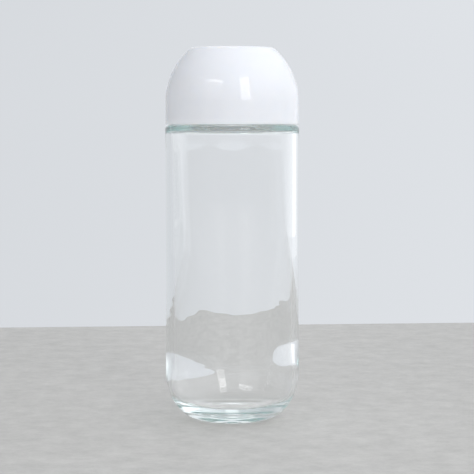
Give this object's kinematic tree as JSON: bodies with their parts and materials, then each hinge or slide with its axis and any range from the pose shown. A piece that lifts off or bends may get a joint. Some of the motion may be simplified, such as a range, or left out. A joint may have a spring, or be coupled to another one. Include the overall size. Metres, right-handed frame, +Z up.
{
  "type": "glass water bottle",
  "caption": "Straight clear glass drinking bottle with a thick rounded base and a domed white screw cap as wide as the bottle.",
  "frame": {"origin": "middle of the ring that the bottle stands on", "axes": "+Z up the bottle's axis, from the base to the top of the cap; the part is round about Z apart from its thread"},
  "size_m": [0.07, 0.07, 0.1945],
  "materials": {
    "clear_glass": "clear polished soda-lime glass with a faint blue-green tint where it is thick",
    "silicone": "milky translucent silicone, satin",
    "inner_plastic": "white moulded polypropylene, satin",
    "white_plastic": "white moulded plastic, smooth and softly glossy"
  },
  "bodies": {
    "bottle": {"glass_body": "clear_glass"},
    "seal": {"seal_ring": "silicone"},
    "cap": {"cap_shell": "white_plastic", "cap_insert": "inner_plastic"}
  },
  "joints": [
    {"name": "cap_rise", "type": "slide", "parent": "bottle", "child": "seal", "axis": [0, 0, 1], "range_m": [0, 0.02]},
    {"name": "cap_turn", "type": "hinge", "parent": "seal", "child": "cap", "pos_m": [0, 0, 0.159], "axis": [0, 0, 1], "range_deg": [0, 900]}
  ],
  "couplings": [
    {"joint": "cap_rise", "follows": "cap_turn", "m_per_rad": 0.0012732}
  ]
}
